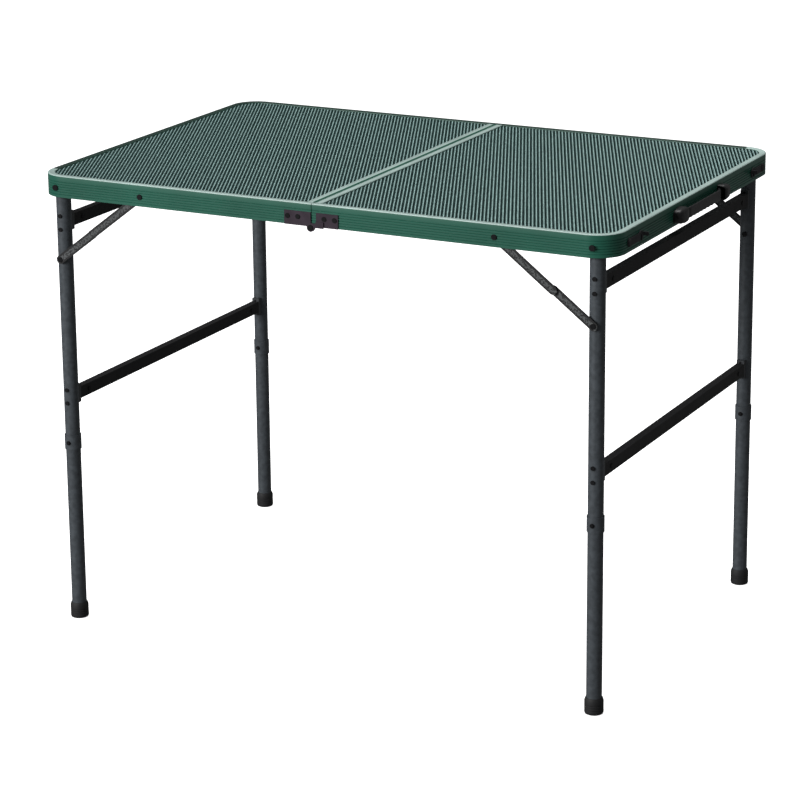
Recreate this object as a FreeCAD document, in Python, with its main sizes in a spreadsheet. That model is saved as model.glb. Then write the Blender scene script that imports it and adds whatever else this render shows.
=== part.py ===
import FreeCAD, Part

import math
import os
import re

import Sketcher

# Folding camp kitchen table: two mesh-topped halves joined by a case hinge along their long
# sides' middle, a braced leg frame that folds into each half, and four plug-in extension legs.
# Millimetres. +X runs along the table towards the carrying handle, +Y towards its back, +Z up.
# The origin is on the floor, under the middle of the whole outline.

os.makedirs("parts", exist_ok=True)
doc = FreeCAD.newDocument("camp_kitchen_table")
sizes = doc.addObject("Spreadsheet::Sheet", "Sizes")

DIMENSIONS = [
    # the top
    ("top_length", 900, "both halves, opened flat, end face to end face"),
    ("top_depth", 600, "front face to back face of the edge frame"),
    ("table_height", 680, "floor to the top of the rim"),
    ("rim_height", 32, "height of the edge frame"),
    ("rim_wall", 1.6, "wall of the edge frame"),
    ("lip_width", 10, "inward lip over the mesh, from the outer face"),
    ("lip_thick", 1.6, "thickness of that lip"),
    ("corner_radius", 40, "outer corners of the top"),
    ("fold_gap", 1, "gap between the two fold rails"),
    ("rail_width", 11, "top flange of a fold rail"),
    ("rail_wall", 1.6, "wall of a fold rail"),
    ("mesh_thick", 1.2, "thickness of the mesh sheet"),
    ("mesh_clear", 0.3, "gap round the mesh sheet's edge"),
    ("rib_width", 27, "channel under the middle of the mesh"),
    ("rib_depth", 8, "depth of that channel"),
    ("rib_wall", 1.2, "its wall"),
    # the leg frames
    ("leg_inset", 31, "end face to the leg's centre line"),
    ("leg_radius", 11, "outer radius of the leg tubes"),
    ("leg_wall", 1.2, "wall of the leg tubes"),
    ("pivot_drop", 18, "top of the rim down to the leg pivot"),
    ("leg_above_pivot", 9, "how far the tube runs past its pivot"),
    ("pivot_radius", 3, "leg pivot shank"),
    ("pivot_shoulder_radius", 5, "shoulder between frame wall and tube"),
    ("pivot_head_radius", 4.2, "leg pivot head on the frame's outer face"),
    ("head_height", 1.5, "height of the pivot and screw heads"),
    ("split_drop", 416, "top of the rim down to where the extension leg starts"),
    ("upper_bar_drop", 72, "top of the rim down to the middle of the upper crossbar"),
    ("lower_bar_drop", 334, "top of the rim down to the middle of the lower crossbar"),
    ("bar_height", 18, "height of a crossbar"),
    ("bar_thick", 12, "thickness of a crossbar"),
    ("bar_wall", 1.2, "wall of a crossbar"),
    ("saddle_length", 6, "saddle between a crossbar's end and the tube"),
    ("saddle_height", 28, "height of the saddle's shoe"),
    ("tongue_length", 32, "saddle's tongue inside the crossbar"),
    ("screw_radius", 2, "crossbar screws and rivets"),
    ("screw_head_radius", 3, "their heads"),
    ("screw_spacing", 20, "the two screws of one saddle, apart in height"),
    ("rivet_inset", 22, "crossbar rivet from the bar's end"),
    # the folding braces
    ("brace_reach", 142, "brace's frame pivot to the leg pivot, along the rim"),
    ("brace_drop", 108, "leg pivot down to the brace's leg pivot"),
    ("upper_link_width", 12.5, "width of the upper brace link"),
    ("lower_link_width", 12.5, "width of the lower brace link"),
    ("link_thick", 1.5, "thickness of the brace links"),
    ("link_from_wall", 0.6, "frame wall to the upper link"),
    ("link_gap", 1.6, "upper link to the lower link"),
    ("leg_gap", 2.2, "lower link to the leg tube"),
    ("brace_pin_radius", 2.5, "brace pivot shanks"),
    ("brace_head_radius", 3.9, "brace pivot heads"),
    ("brace_head_height", 0.9, "their height"),
    # the extension legs
    ("ferrule_height", 22, "ferrule round the lower end of a leg tube"),
    ("ferrule_wall", 1.3, "its wall"),
    ("neck_length", 41, "reduced neck that plugs into the leg tube"),
    ("neck_play", 0.05, "radial clearance of that neck"),
    ("button_radius", 3.2, "push button in the ferrule"),
    ("button_proud", 2.2, "how far the button stands out"),
    ("button_clear", 0.3, "inner end of the button to the neck"),
    ("foot_wall", 2.5, "rubber foot's outside past the tube's"),
    ("foot_height", 24, "its height"),
    ("foot_floor", 4, "rubber under the tube's end"),
    # the case hinge
    ("leaf_length", 42, "hinge leaf along the rim"),
    ("leaf_height", 20, "its height up from the rim's lower edge"),
    ("leaf_thick", 1.6, "its thickness"),
    ("ear_radius", 6, "hinge ears round the pin"),
    ("ear_gap", 0.2, "play between the two ears"),
    ("strap_reach", 20, "right ear's strap along its leaf"),
    ("ear_clear", 2, "right leaf clear of the left ear"),
    ("hinge_drop", 1, "pin axis below the rim's lower edge"),
    ("hinge_pin_radius", 2, "hinge pin"),
    ("hinge_head_radius", 4, "its head"),
    ("rivet_radius", 2, "frame rivets"),
    ("rivet_head_radius", 3.5, "their heads"),
    ("rivet_head_height", 1, "height of those heads"),
    # the latches
    ("latch_place", 250, "latch from the middle of the end face"),
    ("latch_length", 38, "latch pivot to its notch"),
    ("latch_thick", 1.6, "latch plate"),
    ("latch_width", 10, "width of the latch plate"),
    ("latch_gap", 0.3, "end face to the latch plate"),
    ("latch_pin_radius", 2.5, "latch pivot and keeper shank"),
    ("latch_head_radius", 5, "latch pivot head"),
    ("tab_height", 8, "thumb tab standing off the plate"),
    ("keeper_proud", 4, "keeper stud off the left end face"),
    # the handle
    ("handle_length", 190, "over both handle blocks"),
    ("block_length", 25, "one handle block"),
    ("block_height", 22, "its height"),
    ("handle_proud", 14, "how far the blocks stand off the end face"),
    ("block_wall", 2, "wall of a block's pocket"),
    ("grip_thick", 4, "thickness of the grip"),
    ("grip_height", 16, "height of the grip"),
    ("grip_stand", 7, "finger gap behind the grip, pushed in"),
    ("tongue_stand", 1.3, "grip's ends off the end face, pushed in"),
    ("grip_clear", 0.5, "play of the grip's ends in the blocks"),
    # fits
    ("fit_clear", 0.05, "radial clearance of pins, shanks and sleeves"),
    ("seat_gap", 0.3, "gap beside a turning tube"),
]

for row, (alias, number, note) in enumerate(DIMENSIONS, start=1):
    sizes.set(f"A{row}", alias)
    sizes.set(f"B{row}", str(number))
    sizes.set(f"C{row}", note)
    sizes.setAlias(f"B{row}", alias)
doc.recompute()

ALIASES = {alias for alias, number, note in DIMENSIONS}


def bound(text):
    """An expression in plain size names, written for setExpression."""
    return re.sub(r"[a-z][a-z_]+", lambda m: "Sizes." + m[0] if m[0] in ALIASES else m[0], str(text))


def bind(obj, **expressions):
    for prop, text in expressions.items():
        obj.setExpression(prop.replace("__", "."), bound(text))


def place(obj, x, y, z, turn=None):
    obj.Placement = FreeCAD.Placement(FreeCAD.Vector(), turn or FreeCAD.Rotation())
    bind(obj, Placement__Base__x=x, Placement__Base__y=y, Placement__Base__z=z)
    return obj


# Turns of a local frame: FRONTAL has its outline in XZ and its thickness towards -Y, ENDWISE
# has its outline in YZ and its thickness towards +X.
FRONTAL = FreeCAD.Rotation(FreeCAD.Vector(1, 0, 0), 90)
ENDWISE = FreeCAD.Rotation(FreeCAD.Vector(1, 1, 1), 120)
ALONG = {
    "X": FreeCAD.Rotation(FreeCAD.Vector(0, 1, 0), 90),
    "Y": FreeCAD.Rotation(FreeCAD.Vector(1, 0, 0), -90),
    "Z": FreeCAD.Rotation(),
}

# Part primitives and booleans


def named(kind, name):
    obj = doc.addObject(kind, name)
    obj.Label = name
    return obj


def box(name, start, extent):
    obj = named("Part::Box", name)
    bind(obj, Length=extent[0], Width=extent[1], Height=extent[2])
    return place(obj, *start)


def cylinder(name, start, radius, length, along="Z"):
    obj = named("Part::Cylinder", name)
    bind(obj, Radius=radius, Height=length)
    return place(obj, *start, ALONG[along])


def fuse(name, shapes):
    obj = named("Part::MultiFuse", name)
    obj.Shapes = shapes
    return obj


def group(name, shapes):
    obj = named("Part::Compound", name)
    obj.Links = shapes
    return obj


def cut(name, base, tool):
    obj = named("Part::Cut", name)
    obj.Base, obj.Tool = base, tool
    return obj


def turned(name, x, z, steps, outward):
    """A pin along Y, made of cylinders end to end.

    steps are (from, to, radius), each a distance from the middle plane of the table;
    outward is -1 at the front and 1 at the back.
    """
    parts = []
    for number, (near, far, radius) in enumerate(steps):
        start = f"-({far})" if outward < 0 else near
        parts.append(cylinder(f"{name}_step{number}", (x, start, z), radius, f"{far} - ({near})", "Y"))
    return fuse(name, parts)


# PartDesign bodies


def new_body(name, x, y, z, turn=None):
    body = named("PartDesign::Body", name)
    return place(body, x, y, z, turn)


def new_sketch(body, plane="XY_Plane", lift="0"):
    sketch = body.newObject("Sketcher::SketchObject", f"{body.Name}_sketch")
    origin = next(f for f in body.Origin.OriginFeatures if f.Role == plane)
    sketch.AttachmentSupport = (origin, [""])
    sketch.MapMode = "FlatFace"
    bind(sketch, AttachmentOffset__Base__z=lift)
    return sketch


def fix(sketch, item, point, x, y):
    """Ties a point of the sketch to its origin by two dimensions."""
    for kind, text in (("DistanceX", x), ("DistanceY", y)):
        number = sketch.addConstraint(Sketcher.Constraint(kind, -1, 1, item, point, 1.0))
        bind(sketch, **{f"Constraints[{number}]": text})


def outline(sketch, points):
    """A closed outline of straight lines through points given as expressions."""
    count = len(points)
    corners = [
        FreeCAD.Vector(10 * math.cos(2 * math.pi * i / count), 10 * math.sin(2 * math.pi * i / count), 0)
        for i in range(count)
    ]
    first = sketch.GeometryCount
    for i in range(count):
        sketch.addGeometry(Part.LineSegment(corners[i], corners[(i + 1) % count]), False)
    for i in range(count):
        following = first + (i + 1) % count
        sketch.addConstraint(Sketcher.Constraint("Coincident", first + i, 2, following, 1))
    for i, (x, y) in enumerate(points):
        fix(sketch, first + i, 1, x, y)


def rectangle(sketch, x0, x1, y0, y1):
    outline(sketch, [(x0, y0), (x1, y0), (x1, y1), (x0, y1)])


def circle(sketch, radius, x="0", y="0"):
    item = sketch.addGeometry(Part.Circle(FreeCAD.Vector(1, 1, 0), FreeCAD.Vector(0, 0, 1), 1), False)
    number = sketch.addConstraint(Sketcher.Constraint("Radius", item, 1.0))
    bind(sketch, **{f"Constraints[{number}]": radius})
    fix(sketch, item, 3, x, y)


def pad(body, sketch, length, both_ways=False):
    feature = body.newObject("PartDesign::Pad", f"{body.Name}_pad")
    feature.Profile = sketch
    feature.Midplane = both_ways
    bind(feature, Length=length)
    return feature


def pocket(body, sketch, length=None, both_ways=False, reverse=True):
    """Cuts along the sketch's normal (reverse) or against it, or right through both ways."""
    feature = body.newObject("PartDesign::Pocket", f"{body.Name}_pocket")
    feature.Profile = sketch
    feature.Midplane = both_ways
    feature.Reversed = reverse and not both_ways
    if length is None:
        feature.Type = "ThroughAll"
    else:
        bind(feature, Length=length)
    return feature


def revolve(body, sketch):
    feature = body.newObject("PartDesign::Revolution", f"{body.Name}_turn")
    feature.Profile = sketch
    feature.ReferenceAxis = (sketch, ["V_Axis"])
    feature.Angle = 360
    return feature


def round_upright_edges(body, radius, reach, half_width):
    """Fillets the two upright edges of the tip at |x| = reach, |y| = half_width."""
    doc.recompute()
    tip = body.Tip
    found = []
    for number, edge in enumerate(tip.Shape.Edges, start=1):
        bounds = edge.BoundBox
        upright = bounds.XLength + bounds.YLength < 0.01
        middle = bounds.Center
        if upright and abs(abs(middle.x) - reach) < 0.01 and abs(abs(middle.y) - half_width) < 0.01:
            found.append(f"Edge{number}")
    if len(found) != 2:
        raise RuntimeError(f"{body.Label}: {len(found)} upright corner edges instead of 2")
    feature = body.newObject("PartDesign::Fillet", f"{body.Name}_corner")
    feature.Base = (tip, found)
    bind(feature, Radius=radius)


def value(name):
    return float(sizes.get(name))


# Heights, and distances along the table counted from the fold

RIM_BOTTOM = "(table_height - rim_height)"
PIVOT_Z = "(table_height - pivot_drop)"
SPLIT_Z = "(table_height - split_drop)"
MESH_UNDER = "(table_height - lip_thick - mesh_thick)"
FOLD_X = "(-(handle_proud - keeper_proud) / 2)"
HALF = "(top_length / 2)"
HALF_DEPTH = "(top_depth / 2)"
RAIL_AT = "(fold_gap / 2)"
LEG_AT = "(top_length / 2 - leg_inset)"
WALL_IN = "(top_depth / 2 - rim_wall)"
# How far out the pivot's shoulder may reach before the rounded corner's inner face
PAST_CORNER = "max(0; corner_radius - leg_inset + pivot_shoulder_radius)"
CORNER_IN = (
    f"({HALF_DEPTH} - corner_radius - seat_gap"
    f" + sqrt((corner_radius - rim_wall)^2 - {PAST_CORNER}^2))"
)
BRACE_AT = "(top_length / 2 - leg_inset - brace_reach)"
HINGE_Z = "(table_height - rim_height - hinge_drop)"
BRACE_SPAN = "sqrt(brace_reach ^ 2 + brace_drop ^ 2)"
UPPER_LINK = f"(({BRACE_SPAN} + brace_reach - brace_drop) / 2)"
# layers from the frame wall inwards, as distances from the table's middle plane
LINK_A_OUT = f"({WALL_IN} - link_from_wall)"
LINK_A_IN = f"({LINK_A_OUT} - link_thick)"
LINK_B_OUT = f"({LINK_A_IN} - link_gap)"
LINK_B_IN = f"({LINK_B_OUT} - link_thick)"
LEG_FACE = f"({LINK_B_IN} - leg_gap)"
LEG_OUT = f"({LEG_FACE} - leg_radius)"
LEG_BACK = f"({LEG_OUT} - leg_radius)"
BAR_REACH = f"({LEG_BACK} - saddle_length)"
FERRULE_RADIUS = "(leg_radius + fit_clear + ferrule_wall)"
NECK_RADIUS = "(leg_radius - leg_wall - neck_play)"
BUTTON_Z = f"({SPLIT_Z} + ferrule_height / 2)"
HINGE_RIVETS = ["(leaf_length / 4 + strap_reach / 2)", "(leaf_length - rivet_head_radius * 1.5)"]
RIVET_Z = f"({RIM_BOTTOM} + leaf_height * 0.62)"

BARS = {"upper": "upper_bar_drop", "lower": "lower_bar_drop"}
FACES = {"front": -1, "back": 1}
SIDES = {"left": -1, "right": 1}


def at(side, distance):
    """X of a distance from the fold, on the left (-1) or right (1) half."""
    return f"{FOLD_X} + {side} * ({distance})"


# The two halves of the top


def round_cornered_pocket(body, side, inset, height):
    """Opens the half from below, up to inset from its outline, with corners on the same centres."""
    corner_x, corner_y = f"({HALF} - corner_radius)", f"({HALF_DEPTH} - corner_radius)"
    reach = f"({HALF_DEPTH} - {inset})"
    along = new_sketch(body)
    rectangle(along, f"{side} * ({RAIL_AT} - 1)", f"{side} * {corner_x}", f"-{reach}", reach)
    pocket(body, along, height)
    across = new_sketch(body)
    rectangle(across, f"{side} * {corner_x}", f"{side} * ({HALF} - {inset})", f"-{corner_y}", corner_y)
    pocket(body, across, height)
    corners = new_sketch(body)
    for sign in (-1, 1):
        circle(corners, f"corner_radius - {inset}", f"{side} * {corner_x}", f"{sign} * {corner_y}")
    pocket(body, corners, height)


def edge_frame(name, side):
    body = new_body(f"{name}_edge_frame", FOLD_X, "0", RIM_BOTTOM)
    start = f"{side} * {RAIL_AT}"
    sketch = new_sketch(body)
    rectangle(sketch, start, f"{side} * {HALF}", f"-{HALF_DEPTH}", HALF_DEPTH)
    pad(body, sketch, "rim_height")
    for inset, height in (("rim_wall", "rim_height - lip_thick"), ("lip_width", "rim_height + 1")):
        round_cornered_pocket(body, side, inset, height)
    round_upright_edges(body, "corner_radius", value("top_length") / 2, value("top_depth") / 2)
    long_sides = new_sketch(body, "XZ_Plane")
    drop = "(rim_height - pivot_drop)"
    circle(long_sides, "pivot_radius", f"{side} * {LEG_AT}", drop)
    circle(long_sides, "brace_pin_radius", f"{side} * {BRACE_AT}", drop)
    for place_x in HINGE_RIVETS:
        circle(long_sides, "rivet_radius", f"{side} * {place_x}", "leaf_height * 0.62")
    pocket(body, long_sides, None, both_ways=True)
    end_face = new_sketch(body, "YZ_Plane")
    for sign in (-1, 1):
        circle(end_face, "latch_pin_radius", f"{sign} * latch_place", drop)
        if side > 0:
            circle(end_face, "screw_radius", f"{sign} * {BLOCK_SCREW}", drop)
    pocket(body, end_face, None, both_ways=True)
    return body


def fold_rail(name, side):
    body = new_body(f"{name}_fold_rail", FOLD_X, "0", RIM_BOTTOM)
    wall = new_sketch(body)
    rectangle(wall, f"{side} * {RAIL_AT}", f"{side} * ({RAIL_AT} + rail_wall)", f"-{WALL_IN}", WALL_IN)
    pad(body, wall, "rim_height - lip_thick")
    reach = f"({HALF_DEPTH} - lip_width)"
    flange = new_sketch(body, lift="rim_height - lip_thick")
    rectangle(flange, f"{side} * {RAIL_AT}", f"{side} * ({RAIL_AT} + rail_width)", f"-{reach}", reach)
    pad(body, flange, "lip_thick")
    return body


def mesh_panel(name, side):
    body = new_body(f"{name}_mesh_panel", FOLD_X, "0", MESH_UNDER)
    inset = "(rim_wall + mesh_clear)"
    sketch = new_sketch(body)
    reach = f"({HALF_DEPTH} - {inset})"
    near = f"({RAIL_AT} + rail_wall + mesh_clear)"
    rectangle(sketch, f"{side} * {near}", f"{side} * ({HALF} - {inset})", f"-{reach}", reach)
    pad(body, sketch, "mesh_thick")
    taken = value("rim_wall") + value("mesh_clear")
    round_upright_edges(
        body, f"corner_radius - {inset}", value("top_length") / 2 - taken, value("top_depth") / 2 - taken
    )
    return body


def centre_rib(name, side):
    """A shallow channel, open downwards, from the fold rail to the end wall."""
    body = new_body(f"{name}_centre_rib", FOLD_X, "0", f"{MESH_UNDER} - rib_depth")
    near, far = f"{side} * ({RAIL_AT} + rail_wall)", f"{side} * ({HALF} - rim_wall)"
    sketch = new_sketch(body)
    rectangle(sketch, near, far, "-rib_width / 2", "rib_width / 2")
    pad(body, sketch, "rib_depth")
    hollow = new_sketch(body)
    rectangle(hollow, near, far, "-(rib_width / 2 - rib_wall)", "rib_width / 2 - rib_wall")
    pocket(body, hollow, "rib_depth - rib_wall")
    return body


def frame_rivets(name, side):
    """Rivets that hold the hinge leaves to the edge frame."""
    rivets = []
    far = f"({HALF_DEPTH} + leaf_thick)"
    for face, outward in FACES.items():
        for number, place_x in enumerate(HINGE_RIVETS):
            steps = [
                (f"({WALL_IN} - rivet_head_height)", WALL_IN, "rivet_head_radius"),
                (WALL_IN, far, "rivet_radius"),
                (far, f"({far} + rivet_head_height)", "rivet_head_radius"),
            ]
            rivets.append(turned(f"{name}_rivet_{face}{number}", at(side, place_x), RIVET_Z, steps, outward))
    return group(f"{name}_frame_rivets", rivets)


def frame_pivots(name, side):
    """Shouldered rivets that carry the leg tubes, and the braces' upper rivets."""
    pins = []
    for face, outward in FACES.items():
        leg = [
            (f"({LEG_BACK} - seat_gap - head_height)", f"({LEG_BACK} - seat_gap)", "pivot_shoulder_radius"),
            (f"({LEG_BACK} - seat_gap)", HALF_DEPTH, "pivot_radius"),
            (f"({LEG_FACE} + seat_gap)", CORNER_IN, "pivot_shoulder_radius"),
            (HALF_DEPTH, f"({HALF_DEPTH} + head_height)", "pivot_head_radius"),
        ]
        pins.append(turned(f"{name}_leg_pivot_{face}", at(side, LEG_AT), PIVOT_Z, leg, outward))
        brace = [
            (
                f"({LINK_A_IN} - fit_clear - brace_head_height)",
                f"({LINK_A_IN} - fit_clear)",
                "brace_head_radius",
            ),
            (f"({LINK_A_IN} - fit_clear)", HALF_DEPTH, "brace_pin_radius"),
            (HALF_DEPTH, f"({HALF_DEPTH} + head_height)", "brace_head_radius"),
        ]
        pins.append(turned(f"{name}_brace_pivot_{face}", at(side, BRACE_AT), PIVOT_Z, brace, outward))
    return group(f"{name}_frame_pivots", pins)


# The case hinge at the front and back of the fold


def left_leaf(face):
    outward = FACES[face]
    start = f"-{HALF_DEPTH}" if outward < 0 else f"{HALF_DEPTH} + leaf_thick"
    body = new_body(f"left_leaf_{face}", FOLD_X, start, RIM_BOTTOM, FRONTAL)
    plate = new_sketch(body)
    rectangle(plate, "-leaf_length", f"-{RAIL_AT}", "0", "leaf_height")
    pad(body, plate, "leaf_thick")
    ear = new_sketch(body)
    circle(ear, "ear_radius", "0", "-hinge_drop")
    pad(body, ear, "leaf_thick")
    hinge_hole(body)
    rivet_holes(body, -1)
    return body


def right_leaf(face):
    """A plate kept clear of the left ear, and an ear that laps over it on a strap."""
    outward = FACES[face]
    start = f"-{HALF_DEPTH}" if outward < 0 else f"{HALF_DEPTH} + 2 * leaf_thick + ear_gap"
    body = new_body(f"right_leaf_{face}", FOLD_X, start, RIM_BOTTOM, FRONTAL)
    whole, near_plate, near_ear = "2 * leaf_thick + ear_gap", "0", "leaf_thick + ear_gap"
    if outward > 0:
        near_plate, near_ear = "leaf_thick + ear_gap", "0"
    clear = "(ear_radius + ear_clear)"
    plate = new_sketch(body, lift=near_plate)
    rectangle(plate, clear, "leaf_length", "0", "leaf_height")
    pad(body, plate, "leaf_thick")
    block = new_sketch(body)
    rectangle(block, clear, "strap_reach", "0", "ear_radius + ear_clear")
    pad(body, block, whole)
    strap = new_sketch(body, lift=near_ear)
    rectangle(strap, "0", "strap_reach", "-hinge_drop", "ear_radius - hinge_drop")
    pad(body, strap, "leaf_thick")
    ear = new_sketch(body, lift=near_ear)
    circle(ear, "ear_radius", "0", "-hinge_drop")
    pad(body, ear, "leaf_thick")
    hinge_hole(body)
    rivet_holes(body, 1)
    return body


def hinge_hole(body):
    sketch = new_sketch(body)
    circle(sketch, "hinge_pin_radius + fit_clear", "0", "-hinge_drop")
    pocket(body, sketch, None, both_ways=True)


def rivet_holes(body, side):
    sketch = new_sketch(body)
    for place_x in HINGE_RIVETS:
        circle(sketch, "rivet_radius", f"{side} * {place_x}", "leaf_height * 0.62")
    pocket(body, sketch, None, both_ways=True)


def hinge_pins():
    pins = []
    outside = f"({HALF_DEPTH} + 2 * leaf_thick + ear_gap + fit_clear)"
    for face, outward in FACES.items():
        steps = [
            (HALF_DEPTH, outside, "hinge_pin_radius"),
            (outside, f"({outside} + rivet_head_height)", "hinge_head_radius"),
        ]
        pins.append(turned(f"hinge_pin_{face}", FOLD_X, HINGE_Z, steps, outward))
    return group("hinge_pins", pins)


# The leg frames


def leg_tube(name, side, face):
    outward = FACES[face]
    body = new_body(f"{name}_leg_tube_{face}", at(side, LEG_AT), f"{outward} * {LEG_OUT}", SPLIT_Z)
    outer = new_sketch(body)
    circle(outer, "leg_radius")
    pad(body, outer, "split_drop - pivot_drop + leg_above_pivot")
    bore = new_sketch(body)
    circle(bore, "leg_radius - leg_wall")
    pocket(body, bore, None)
    across = new_sketch(body, "XZ_Plane")
    circle(across, "pivot_radius + fit_clear", "0", "split_drop - pivot_drop")
    circle(across, "brace_pin_radius + fit_clear", "0", "split_drop - pivot_drop - brace_drop")
    for drop in BARS.values():
        for sign in (-1, 1):
            level = f"split_drop - {drop} + {sign} * screw_spacing / 2"
            circle(across, "screw_radius + fit_clear", "0", level)
    pocket(body, across, None, both_ways=True)
    button_hole(body, "button_radius + fit_clear", "ferrule_height / 2")
    return body


def button_hole(body, radius, height):
    """A hole through the wall that faces the front."""
    sketch = new_sketch(body, "XZ_Plane")
    circle(sketch, radius, "0", height)
    pocket(body, sketch, "leg_radius * 2", reverse=True)


def ferrules(name, side):
    rings = []
    for face, outward in FACES.items():
        body = new_body(f"{name}_ferrule_{face}", at(side, LEG_AT), f"{outward} * {LEG_OUT}", SPLIT_Z)
        outer = new_sketch(body)
        circle(outer, FERRULE_RADIUS)
        pad(body, outer, "ferrule_height")
        bore = new_sketch(body)
        circle(bore, "leg_radius + fit_clear")
        pocket(body, bore, None)
        button_hole(body, "button_radius + fit_clear", "ferrule_height / 2")
        rings.append(body)
    return group(f"{name}_ferrules", rings)


def crossbar(name, side, level):
    body = new_body(f"{name}_{level}_crossbar", at(side, LEG_AT), "0", f"table_height - {BARS[level]}")
    section = new_sketch(body, "XZ_Plane")
    rectangle(section, "-bar_thick / 2", "bar_thick / 2", "-bar_height / 2", "bar_height / 2")
    inner_x, inner_z = "(bar_thick / 2 - bar_wall)", "(bar_height / 2 - bar_wall)"
    rectangle(section, f"-{inner_x}", inner_x, f"-{inner_z}", inner_z)
    pad(body, section, f"2 * {BAR_REACH}", both_ways=True)
    holes = new_sketch(body, "YZ_Plane")
    for sign in (-1, 1):
        circle(holes, "screw_radius + fit_clear", f"{sign} * ({BAR_REACH} - rivet_inset)", "0")
    pocket(body, holes, None, both_ways=True)
    return body


def saddles(name, side):
    """Shoes that hug the leg tubes, each with a tongue inside its crossbar."""
    made = []
    x = at(side, LEG_AT)
    for level, drop in BARS.items():
        z = f"table_height - {drop}"
        for face, outward in FACES.items():
            label = f"{name}_{level}_saddle_{face}"
            shoe_deep = "(saddle_length + leg_radius / 2)"
            shoe_y = f"{BAR_REACH}" if outward > 0 else f"-({BAR_REACH} + {shoe_deep})"
            shoe = box(
                f"{label}_shoe",
                (f"{x} - bar_thick / 2", shoe_y, f"{z} - saddle_height / 2"),
                ("bar_thick", shoe_deep, "saddle_height"),
            )
            thin = "(bar_thick - 2 * bar_wall - 2 * fit_clear)"
            tall = "(bar_height - 2 * bar_wall - 2 * fit_clear)"
            tongue_y = f"{BAR_REACH} - tongue_length" if outward > 0 else f"-{BAR_REACH}"
            tongue = box(
                f"{label}_tongue",
                (f"{x} - {thin} / 2", tongue_y, f"{z} - {tall} / 2"),
                (thin, "tongue_length", tall),
            )
            blank = fuse(f"{label}_blank", [shoe, tongue])
            seat = cylinder(
                f"{label}_seat",
                (x, f"{outward} * {LEG_OUT}", f"{z} - saddle_height / 2 - 1"),
                "leg_radius + fit_clear",
                "saddle_height + 2",
            )
            tools = [seat]
            for sign in (-1, 1):
                near = f"{BAR_REACH} - 1" if outward > 0 else f"-({LEG_OUT})"
                tools.append(
                    cylinder(
                        f"{label}_screw_hole{sign + 1}",
                        (x, near, f"{z} + {sign} * screw_spacing / 2"),
                        "screw_radius + fit_clear",
                        f"{LEG_OUT} - {BAR_REACH} + 1",
                        "Y",
                    )
                )
            tools.append(
                cylinder(
                    f"{label}_rivet_hole",
                    (f"{x} - bar_thick", f"{outward} * ({BAR_REACH} - rivet_inset)", z),
                    "screw_radius + fit_clear",
                    "2 * bar_thick",
                    "X",
                )
            )
            made.append(cut(label, blank, fuse(f"{label}_tools", tools)))
    return group(f"{name}_crossbar_saddles", made)


def crossbar_fasteners(name, side):
    """Screws through each leg tube into the saddles, and a rivet through each bar's end."""
    made = []
    x = at(side, LEG_AT)
    for level, drop in BARS.items():
        z = f"table_height - {drop}"
        for face, outward in FACES.items():
            label = f"{name}_{level}_{face}"
            head = f"({LEG_FACE} + fit_clear)"
            for sign in (-1, 1):
                steps = [
                    (BAR_REACH, head, "screw_radius"),
                    (head, f"({head} + head_height)", "screw_head_radius"),
                ]
                screw_z = f"{z} + {sign} * screw_spacing / 2"
                made.append(turned(f"{label}_screw{sign + 1}", x, screw_z, steps, outward))
            y = f"{outward} * ({BAR_REACH} - rivet_inset)"
            face_x = "(bar_thick / 2)"
            shank = cylinder(f"{label}_shank", (f"{x} - {face_x}", y, z), "screw_radius", "bar_thick", "X")
            heads = [
                cylinder(
                    f"{label}_head{sign + 1}",
                    (f"{x} + {sign} * {face_x} - {max(-sign, 0)} * rivet_head_height", y, z),
                    "rivet_head_radius",
                    "rivet_head_height",
                    "X",
                )
                for sign in (-1, 1)
            ]
            made.append(fuse(f"{label}_rivet", [shank] + heads))
    return group(f"{name}_crossbar_fasteners", made)


# The folding braces. At rest both links lie on one line from the frame pivot to the leg pivot.

LINE_X = f"(brace_reach / {BRACE_SPAN})"
LINE_Z = f"(brace_drop / {BRACE_SPAN})"


def link_outline(body, side, near, far, width, lift):
    """A straight link between two distances along the brace line, with round ends."""
    across_x, across_z = f"({width} / 2 * {LINE_Z})", f"({width} / 2 * {LINE_X})"
    corners = [(near, -1), (far, -1), (far, 1), (near, 1)]
    sketch = new_sketch(body, lift=lift)
    outline(
        sketch,
        [
            (
                f"{side} * ({along} * {LINE_X} + {sign} * {across_x})",
                f"{sign} * {across_z} - {along} * {LINE_Z}",
            )
            for along, sign in corners
        ],
    )
    pad(body, sketch, "link_thick")
    for along in (near, far):
        end = new_sketch(body, lift=lift)
        circle(end, f"{width} / 2", f"{side} * ({along} * {LINE_X})", f"-({along} * {LINE_Z})")
        pad(body, end, "link_thick")


def upper_brace_link(name, side, face):
    outward = FACES[face]
    stud = "(link_gap - seat_gap)"
    start = f"-{LINK_A_IN} + {stud}" if outward < 0 else LINK_A_OUT
    body = new_body(f"{name}_upper_brace_link_{face}", at(side, BRACE_AT), start, PIVOT_Z, FRONTAL)
    lift = stud if outward < 0 else "0"
    link_outline(body, side, "0", UPPER_LINK, "upper_link_width", lift)
    boss = new_sketch(body, lift="0" if outward < 0 else "link_thick")
    circle(boss, "brace_head_radius", f"{side} * ({UPPER_LINK} * {LINE_X})", f"-({UPPER_LINK} * {LINE_Z})")
    pad(body, boss, stud)
    hole = new_sketch(body)
    circle(hole, "brace_pin_radius + fit_clear")
    pocket(body, hole, None, both_ways=True)
    return body


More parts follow.
